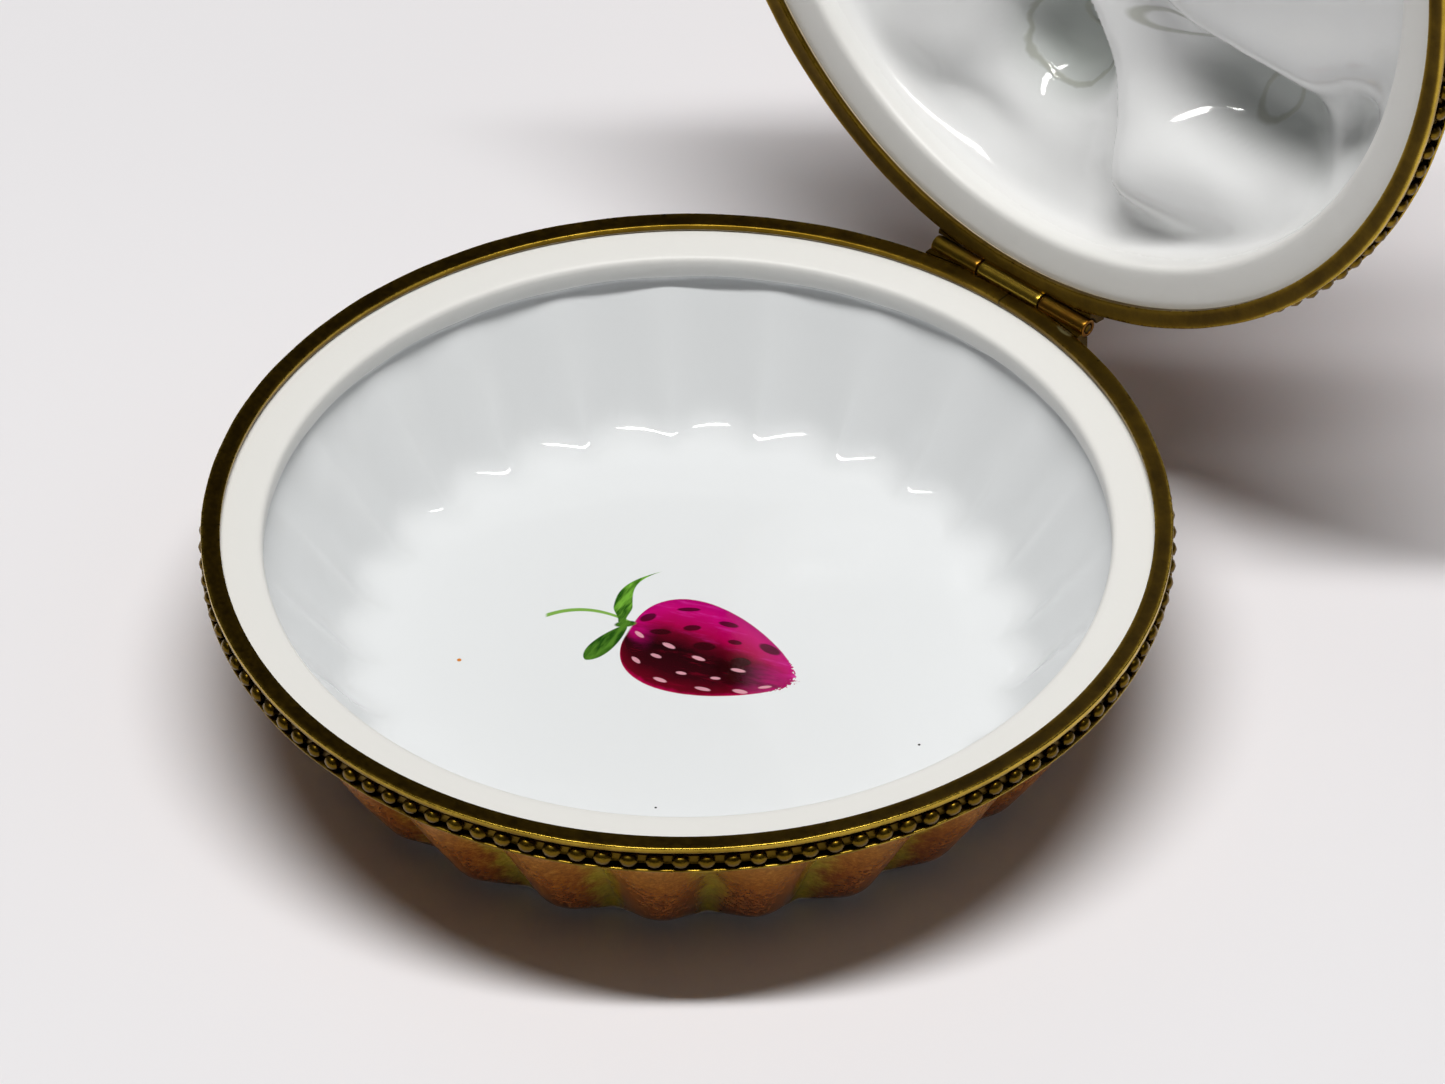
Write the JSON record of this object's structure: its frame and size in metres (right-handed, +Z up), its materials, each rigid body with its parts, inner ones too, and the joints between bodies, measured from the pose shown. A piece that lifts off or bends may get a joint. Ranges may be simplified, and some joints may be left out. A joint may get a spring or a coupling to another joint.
{
  "type": "hinged porcelain trinket box",
  "caption": "Round hinged porcelain trinket box shaped like a fluted tart, with beaded brass mounts and a painted strawberry on the bowl's floor, shown open.",
  "frame": {"origin": "centre of the flat underside, on the box's upright axis", "axes": "+Z up, +Y towards the hinge at the back, +X along the hinge line; the front with the clasp faces -Y"},
  "size_m": [0.0644, 0.0838, 0.0797],
  "materials": {
    "base_porcelain": "glossy glaze",
    "lid_porcelain": "glossy glaze",
    "cement": "matt",
    "mount_brass": "aged, satin",
    "bead_brass": "aged, satin",
    "outer_knuckle_brass": "aged, satin",
    "middle_knuckle_brass": "polished",
    "pin_brass": "aged, satin",
    "clasp_brass": "aged, satin"
  },
  "bodies": {
    "base": {"base_dish": "base_porcelain", "base_cement": "cement", "base_bezel": "mount_brass", "base_bead_wire": "bead_brass", "base_hinge_leaf": "mount_brass", "base_knuckle_left": "outer_knuckle_brass", "base_knuckle_right": "outer_knuckle_brass", "hinge_pin": "pin_brass"},
    "lid": {"lid_shell": "lid_porcelain", "lid_cement": "cement", "lid_bezel": "mount_brass", "lid_bead_wire": "bead_brass", "lid_hinge_leaf": "mount_brass", "lid_knuckle": "middle_knuckle_brass", "clasp_tongue": "mount_brass", "clasp_ornament": "clasp_brass"}
  },
  "joints": [
    {"name": "lid_hinge", "type": "hinge", "parent": "base", "child": "lid", "pos_m": [0, 0.0323, 0.014], "axis": [-1, 0, 0], "range_deg": [-99.4, 0]}
  ]
}
